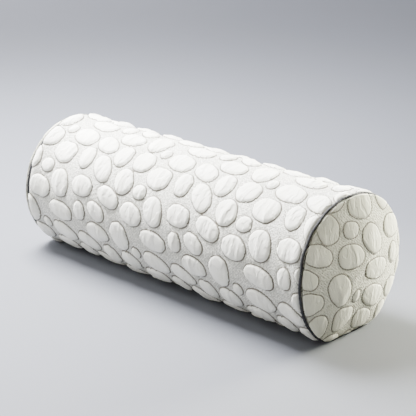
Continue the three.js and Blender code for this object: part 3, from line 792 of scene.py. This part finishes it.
def end_cloth(side, distance, phi):
    """Cloth coordinates on an end panel, which shows the same pattern seen from outside."""
    y, z = -distance * np.sin(phi), distance * np.cos(phi)
    drawn = END_DRAWN * end_slack(y, z) if side > 0 else 0
    return side * y + drawn + END_MIDDLE[side][0], END_MIDDLE[side][1] - z


def end_place(side, u, v):
    """The distance from an end panel's middle and the angle of cloth points on it."""
    y, z = side * (u - END_MIDDLE[side][0]), END_MIDDLE[side][1] - v
    if side > 0:
        start = y
        for _ in range(6):  # the slack depends on the place sought, so it is closed in on
            y = start - END_DRAWN * end_slack(y, z)
    return np.hypot(y, z), np.arctan2(-y, z)


def end_point(side, x, radius, phi):
    """Points of an end, settled where the right one is slack."""
    shape = np.broadcast(x, phi).shape
    at = place(np.full(shape, SEAM_X), np.broadcast_to(radius, shape), phi)
    at[..., 0] = side * (END_START_X + x)
    return settle(at)


def make_end(side, end):
    """A quilted end panel. Returns its pebbles, for their thread."""
    shape = (END_RINGS, END_TURNS)
    u, v = end_cloth(side, np.broadcast_to(END_DISTANCE[:, None], shape), circle(END_TURNS)[None, :])
    pebbles = instances((u.min(), u.max()), (v.min(), v.max()))
    su, sv = snap_to_lines(u, v, pebbles)
    u[3:-3], v[3:-3] = su[3:-3], sv[3:-3]
    distance, phi = end_place(side, u, v)
    signed, puff = quilt(u, v, pebbles)
    from_seam = END_DISTANCE[-1] - distance
    share = risen(np.maximum(from_seam - END_SEAM_START, 0), END_SEAM_RUN, SEAM_POWER)
    gather = 0.3 * np.sin(phi * 66 + 2 * np.sin(phi * 7)) * np.exp(-from_seam / END_GATHER_RUN)
    height = -STITCH_DEPTH * END_PUFF + share * (END_PUFF * puff + gather) + (1 - share) * END_SEAM_FILL
    x, radius, nx, nr = end_section(distance)
    points = end_point(side, x + nx * height, radius + nr * height, phi).reshape(-1, 3)
    points[:END_TURNS] = points[:END_TURNS].mean(axis=0)
    faces = grid_faces(*shape, wrap_columns=True, flip=side < 0)
    thing = new_mesh("cover_end_" + end, points, faces)
    add_cloth(thing, joined(u, v, signed))
    # the ends' knit carries painted warm shade
    dress(thing, END_QUILT_PAINTED_WARM_LIGHT, "quilted_knit", "cover_end_panel_" + end)
    return pebbles


def end_stitches(side, end, pebbles):
    """Quilting thread on an end."""
    stitches = outline_stitches(pebbles)
    distance, phi = end_place(side, stitches[..., 0], stitches[..., 1])
    keep = distance.max(axis=1) < END_DISTANCE[-1] - END_THREAD_FREE
    distance, phi = distance[keep], phi[keep]
    x, radius, nx, nr = end_section(distance)
    lift = -STITCH_DEPTH * END_PUFF + THREAD_LIFT
    made = end_point(side, x + nx * lift, radius + nr * lift, phi)
    outward = joined(side * nx, -np.sin(phi) * nr, np.cos(phi) * nr)[:, 1]
    thread = thread_mesh("quilting_thread_" + end, made[:, 0], made[:, 1], made[:, 2], outward)
    dress(thread, THREAD, "quilted_knit")


for side, end in SIDES:
    end_stitches(side, end, make_end(side, end))

# ---- piping


def seam_ring(side, name, radius, pucker_size, turns, sides):
    """A bead or a cord that runs round an end seam."""
    phi = circle(turns)
    middle = BEAD_REACH - BEAD_RADIUS
    pucker = pucker_size * (np.sin(phi * 96 + 2 * np.sin(phi * 5)) + 0.6 * np.sin(phi * 41))
    angle = circle(sides)[:, None]
    swell = radius + 0.5 * pucker
    reach = middle + swell * np.cos(angle) + 0.4 * pucker - seam_draw(side, phi)
    points = place(np.full(reach.shape, SEAM_X), reach, phi)
    points[..., 0] = side * (SEAM_X + swell * np.sin(angle) + seam_sway(side, phi))
    faces = grid_faces(sides, turns, wrap_rows=True, wrap_columns=True, flip=side > 0)
    thing = new_mesh(name, points, faces)
    add_cloth(thing, joined(angle * radius, phi * BODY_RADIUS, 0))
    return thing


CORD_RADIUS = (box_mm("piping_cord_right")[1][0] - box_mm("piping_cord_right")[0][0]) / 2
for side, end in SIDES:
    bead = seam_ring(side, "piping_bead_" + end, BEAD_RADIUS, 0.10, 720, 14)
    dress(bead, PIPING, "piping_cloth", "piping_sleeve_" + end)
    cord = seam_ring(side, "filler_cord_" + end, CORD_RADIUS, 0.03, 360, 8)
    dress(cord, CORD, "filler_cord", "piping_cord_" + end)

# ---- liner and core, inside the cover

TAPE_HALF = 16.5  # of the shallow hollow that the core gives the zip
SLIDER_ROOM = 0.4  # between the slider and the hollow's floor
POCKET_EDGE = 6.0  # how far past the tapes the hollow ends
POCKET_SLOPE = 5.0
POCKET_END_X = 188.0
POCKET_END_SLOPE = 4.0
ON_AXIS = 0.05  # the least radius of a profile, so that it closes without a point
LINER_CLOTH = 0.8
RIPPLE_OUTSIDE = 60.0  # radius beyond which it ripples
CAP_REACH, CAP_NECK = 70.2, 62.4  # radii of the liner's cap, at its rim and where its nose begins
CAP_GAP = 0.3
CAP_NOSE = 8.8  # how far the nose stands out
CORE_STRAIGHT_X = 181.0
CORE_SHOULDER = ((185.0, 0.0), (190.0, 0.8), (193.2, 4.0))  # x and how far in from the core's radius
CORE_FACE_X, CORE_NECK, CORE_NOSE = 193.8, 61.0, 7.5
CORE_HOLLOW = 1.4  # depth of the core below the hollow's floor,
CAP_HOLLOW = 0.8  # and of the liner's caps

liner_low, liner_high = box_mm("liner_body")
core_low, core_high = box_mm("foam_core")
cap_low, cap_high = box_mm("liner_end_right")


def zip_out(points):
    """Height out of the bolster's axis, square to the zip."""
    return points[:, 1] * math.cos(ZIP_ANGLE) + (points[:, 2] - CENTRE_HEIGHT) * math.sin(ZIP_ANGLE)


def zip_across(points):
    """Distance across the zip, positive downwards."""
    return points[:, 1] * math.sin(ZIP_ANGLE) - (points[:, 2] - CENTRE_HEIGHT) * math.cos(ZIP_ANGLE)


POCKET_FLOOR = zip_out(vertices_mm(frame["nodes"]["zip_slider_body"])).min() - SLIDER_ROOM


def hollowed(x, radius, phi, depth):
    """The radius of a layer that gives way to the zip, this deep below the hollow's floor."""
    turn = (phi - ZIP_PHI + math.pi) % math.tau - math.pi
    floor = (POCKET_FLOOR - depth) / np.cos(np.clip(turn, -0.6, 0.6))
    across = np.abs(turn) * BODY_RADIUS
    share = np.clip((TAPE_HALF + POCKET_EDGE - across) / POCKET_SLOPE, 0, 1)
    share = share * np.clip((POCKET_END_X - np.abs(x)) / POCKET_END_SLOPE, 0, 1)
    return radius - share * np.maximum(radius - floor, 0)


def lathe(name, profile, material, slot_name, node, depth=0.0, turns=180, ripple=0.0, closed=True):
    """A round pressed piece from its [x, radius] profile, replacing a CAD node."""
    profile = np.array(profile, float)
    phi = circle(turns)
    x, radius = profile[:, :1], profile[:, 1:]
    radius = hollowed(x, radius, phi, depth)
    wave = 1 + np.sin(phi * 13 + x * 0.05) * np.sin(x * 0.11 + phi * 3)
    radius = radius - ripple * wave * (radius > RIPPLE_OUTSIDE)
    points = settle(place(x, radius, phi))
    faces = grid_faces(len(profile), turns, wrap_rows=closed, wrap_columns=True)
    thing = new_mesh(name, points, faces)
    add_cloth(thing, joined(x, phi * BODY_RADIUS, radius))
    dress(thing, material, slot_name, node)
    return thing


def stations(*ends, step=4.0):
    """Points of a profile between its corners, close enough to bend smoothly."""
    points = []
    for (x0, r0), (x1, r1) in zip(ends[:-1], ends[1:]):
        count = max(1, math.ceil(math.hypot(x1 - x0, r1 - r0) / step))
        for i in range(count):
            points.append((x0 + (x1 - x0) * i / count, r0 + (r1 - r0) * i / count))
    return points + [ends[-1]]


def crown(start_x, top_x, start_radius, steps=14):
    """An end's rounded nose, from its shoulder to the axis."""
    turn = np.linspace(0, math.pi / 2, steps)
    return [(start_x + (top_x - start_x) * math.sin(t), max(start_radius * math.cos(t), ON_AXIS))
            for t in turn]


def mirrored(points):
    """The same profile for the left end, in the order that keeps its faces outwards."""
    return [(-x, r) for x, r in reversed(points)]


liner_radius = (liner_high[1] - liner_low[1]) / 2
liner_wall = liner_radius - LINER_CLOTH
half = liner_high[0] - 1
lathe("liner_tube", stations((-half, liner_radius), (half, liner_radius))
      + stations((half, liner_wall), (-half, liner_wall)), LINER, "liner_cloth", "liner_body", ripple=0.12)

core_radius = (core_high[1] - core_low[1]) / 2
shoulder = [(x, core_radius - drop) for x, drop in CORE_SHOULDER]
right_half = (stations(*shoulder, (CORE_FACE_X, CORE_NECK))
              + crown(core_high[0] - CORE_NOSE, core_high[0], CORE_NECK))
straight = stations((-CORE_STRAIGHT_X, core_radius), (CORE_STRAIGHT_X, core_radius))
core = lathe("memory_foam", mirrored(right_half) + straight + right_half, FOAM, "core_foam", "foam_core",
             depth=CORE_HOLLOW, closed=False)

rim_x = half - CAP_GAP
for side, end in SIDES:
    outer = (stations((cap_low[0], CAP_REACH), (rim_x, CAP_REACH), (rim_x, CAP_NECK))
             + crown(cap_high[0] - CAP_NOSE, cap_high[0], CAP_NECK))
    inner = [(x - LINER_CLOTH, max(r - LINER_CLOTH, ON_AXIS)) for x, r in outer]
    points = outer + inner[::-1]
    lathe("liner_cap_" + end, points if side > 0 else mirrored(points), LINER, "liner_cloth",
          "liner_end_" + end, depth=CAP_HOLLOW)

# ---- zip


def zip_place(x, across, out):
    """Points of the zip, from their place along it, across it and out of the bolster's axis."""
    y = out * math.cos(ZIP_ANGLE) + across * math.sin(ZIP_ANGLE)
    z = CENTRE_HEIGHT + out * math.sin(ZIP_ANGLE) - across * math.cos(ZIP_ANGLE)
    return joined(x, y, z)


COIL_PITCH = 1.45
COIL_WIRE = 0.31


def make_coil(name, node, phase):
    """A nylon spiral in place of a plain bar."""
    points = vertices_mm(frame["nodes"][node])
    (_, half_length), (across, half_across), (out, half_out) = [
        ((values.max() + values.min()) / 2, (values.max() - values.min()) / 2 - COIL_WIRE)
        for values in (points[:, 0], zip_across(points), zip_out(points))]
    steps, sides = 12, 6
    turns = round(2 * half_length / COIL_PITCH)
    angle = np.linspace(0, turns * math.tau, turns * steps + 1)
    x = -half_length + 2 * half_length * angle / angle[-1]
    centre_line = zip_place(x, across + half_across * np.cos(angle + phase),
                            out + half_out * np.sin(angle + phase))
    along = np.gradient(centre_line, axis=0)
    along /= np.linalg.norm(along, axis=1, keepdims=True)
    first = np.cross(along, np.array([1.0, 0, 0]))
    first /= np.linalg.norm(first, axis=1, keepdims=True)
    second = np.cross(along, first)
    rings = []
    for k in range(sides):
        turn = math.tau * k / sides
        rings.append(centre_line + COIL_WIRE * (math.cos(turn) * first + math.sin(turn) * second))
    faces = grid_faces(len(angle), sides, wrap_columns=True)
    thing = new_mesh(name, np.stack(rings, axis=1), faces)
    dress(thing, NYLON, "zip_nylon", node)


make_coil("zip_spiral_upper", "zip_coil_upper", 0.0)
make_coil("zip_spiral_lower", "zip_coil_lower", math.pi)


def bevelled(node, name, body="pillow", width=0.3):
    """A cast metal piece with rounded edges."""
    thing = frame["nodes"][node].copy()
    thing.data = frame["nodes"][node].data.copy()
    thing.name = name
    thing.hide_render = thing.hide_viewport = False
    bpy.context.scene.collection.objects.link(thing)
    weld = thing.modifiers.new("weld", "WELD")
    weld.merge_threshold = 0.01 * MM
    bevel = thing.modifiers.new("bevel", "BEVEL")
    bevel.width = width * MM
    bevel.segments = 3
    bevel.limit_method = "ANGLE"
    bevel.angle_limit = math.radians(35)
    bevel.harden_normals = True
    bpy.context.view_layer.update()
    made = bpy.data.meshes.new_from_object(thing.evaluated_get(bpy.context.evaluated_depsgraph_get()))
    thing.modifiers.clear()
    thing.data = made
    made.polygons.foreach_set("use_smooth", [True] * len(made.polygons))
    dress(thing, METAL, "zip_metal", node, body=body)


bevelled("zip_slider_body", "slider_casting", "zip_slider", 0.22)
bevelled("zip_pull_tab", "pull_tab_casting", "pull_tab")
for stop in ("zip_top_stop_upper", "zip_top_stop_lower", "zip_bottom_stop"):
    bevelled(stop, stop.replace("zip_", "clamped_"))
for node, material in (("zip_tape_upper", TAPE), ("zip_tape_lower", TAPE), ("care_label", LABEL)):
    paint(frame["nodes"][node], material)


TOPSTITCH_LIFT = 0.45
TOPSTITCH_FROM_END = 6


def seam_stitches():
    """A row of topstitching either side of the zip."""
    last = BODY_END_X - TOPSTITCH_FROM_END
    starts = np.tile(np.arange(-last, last, STITCH_PITCH), 2)
    side = np.repeat((-1, 1), len(starts) // 2)
    points, phis = [], []
    for k in range(3):
        x = starts + STITCH_LENGTH * k / 2
        v = ZIP_V + side * (slot_half(x) + TOPSTITCH)
        r = BODY_RADIUS - STITCH_DEPTH + TOPSTITCH_LIFT + slow_wave(x, v)
        phis.append(v / BODY_RADIUS)
        points.append(place(x, r, phis[k]))
    outward = joined(0, -np.sin(phis[1]), np.cos(phis[1]))
    dress(thread_mesh("zip_topstitch", *points, outward), SEAM_THREAD, "quilted_knit")


seam_stitches()

# ---- stage, light and camera


def make_stage():
    """A pale floor that sweeps up into a backdrop behind the bolster."""
    reach, back, bend, top, under = 6000.0, 1500.0, 1200.0, 5000.0, -0.2
    profile = [(-reach, under), (back, under)]
    for turn in np.linspace(0, math.pi / 2, 16)[1:]:
        profile.append((back + bend * math.sin(turn), bend * (1 - math.cos(turn)) + under))
    profile.append((back + bend, top))
    away = Vector((-math.sin(CAMERA_AZIMUTH), math.cos(CAMERA_AZIMUTH), 0))
    across = Vector((math.cos(CAMERA_AZIMUTH), math.sin(CAMERA_AZIMUTH), 0))
    points = []
    for distance, height in profile:
        for side in (-reach, reach):
            points.append(away * distance + across * side + Vector((0, 0, height)))
    thing = new_mesh("floor", np.array(points), grid_faces(len(profile), 2, flip=True))
    s = Shader("floor")
    place_at = s.node("TexCoord").outputs["Object"]
    cloud = s.node("TexNoise", Vector=place_at, Scale=2.0, Detail=2.0)
    tone = s.mix(cloud.outputs["Fac"], rgb(0.345, 0.355, 0.385), rgb(0.357, 0.367, 0.397))
    s.surface_is(Base_Color=tone, Roughness=0.7)
    paint(thing, s.material)


def area_light(name, place_mm, target_mm, size_mm, power, colour, spread=180):
    data = bpy.data.lights.new(name, "AREA")
    data.shape = "RECTANGLE"
    data.size, data.size_y = size_mm[0] * MM, size_mm[1] * MM
    data.energy = power
    data.color = colour
    data.spread = math.radians(spread)
    at, target = Vector(place_mm) * MM, Vector(target_mm) * MM
    turn = (at - target).to_track_quat("Z", "Y").to_matrix().to_4x4()
    add_object(name, data).matrix_world = Matrix.Translation(at) @ turn


CAMERA_AZIMUTH = math.radians(43.68)
CAMERA_ELEVATION = math.radians(18.885)
CAMERA_DISTANCE = 18.025 * BODY_RADIUS
CAMERA_TARGET = Vector((0.1323 * BODY_RADIUS, 0, 1.0811 * BODY_RADIUS))
CAMERA_ROLL = math.radians(0.751)
CAMERA_LENS = 111.58

LIGHTS = (  # name, place, target, size, watts, colour, spread in degrees
    ("overhead", (-540, 40, 880), (-60, 0, 60), (560, 560), 126.0, (0.985, 0.99, 1.0)),
    ("side_key", (-900, -420, 520), (-40, 0, 60), (220, 220), 9.0, (0.985, 0.99, 1.0)),
    ("front_fill", (-420, -1350, 640), (0, -60, 20), (1300, 900), 10.0, (1.0, 0.985, 0.95)),
    ("right_rim", (290, 780, 260), (245, 30, 85), (240, 240), 4.6, (1.0, 0.985, 0.80), 44),
    ("end_fill", (620, 480, 860), (213, 0, 80), (300, 300), 3.6, (1.0, 0.99, 0.84)),
    ("backdrop", (-2600, 1000, 1500), (-2200, 2600, 500), (1600, 1600), 300.0, (0.98, 0.975, 1.0)),
)
WORLD_COLOUR = rgb(1.0, 0.98, 0.9)
WORLD_STRENGTH = 0.34


def make_camera():
    data = bpy.data.cameras.new("camera")
    data.lens = CAMERA_LENS
    data.sensor_width = 36.0
    camera = add_object("camera", data)
    a, e = CAMERA_AZIMUTH, CAMERA_ELEVATION
    back = Vector((math.sin(a) * math.cos(e), -math.cos(a) * math.cos(e), math.sin(e)))
    right = Vector((0, 0, 1)).cross(back).normalized()
    up = back.cross(right)
    rolled_right = right * math.cos(CAMERA_ROLL) + up * math.sin(CAMERA_ROLL)
    rolled_up = back.cross(rolled_right)
    turn = Matrix((rolled_right, rolled_up, back)).transposed().to_4x4()
    camera.matrix_world = Matrix.Translation((CAMERA_TARGET + back * CAMERA_DISTANCE) * MM) @ turn
    bpy.context.scene.camera = camera


def make_world():
    world = bpy.data.worlds.new("studio")
    world.use_nodes = True
    sky = world.node_tree.nodes["Background"].inputs
    sky["Color"].default_value = WORLD_COLOUR
    sky["Strength"].default_value = WORLD_STRENGTH
    bpy.context.scene.world = world


make_camera()
make_stage()
for light in LIGHTS:
    area_light(*light)
make_world()
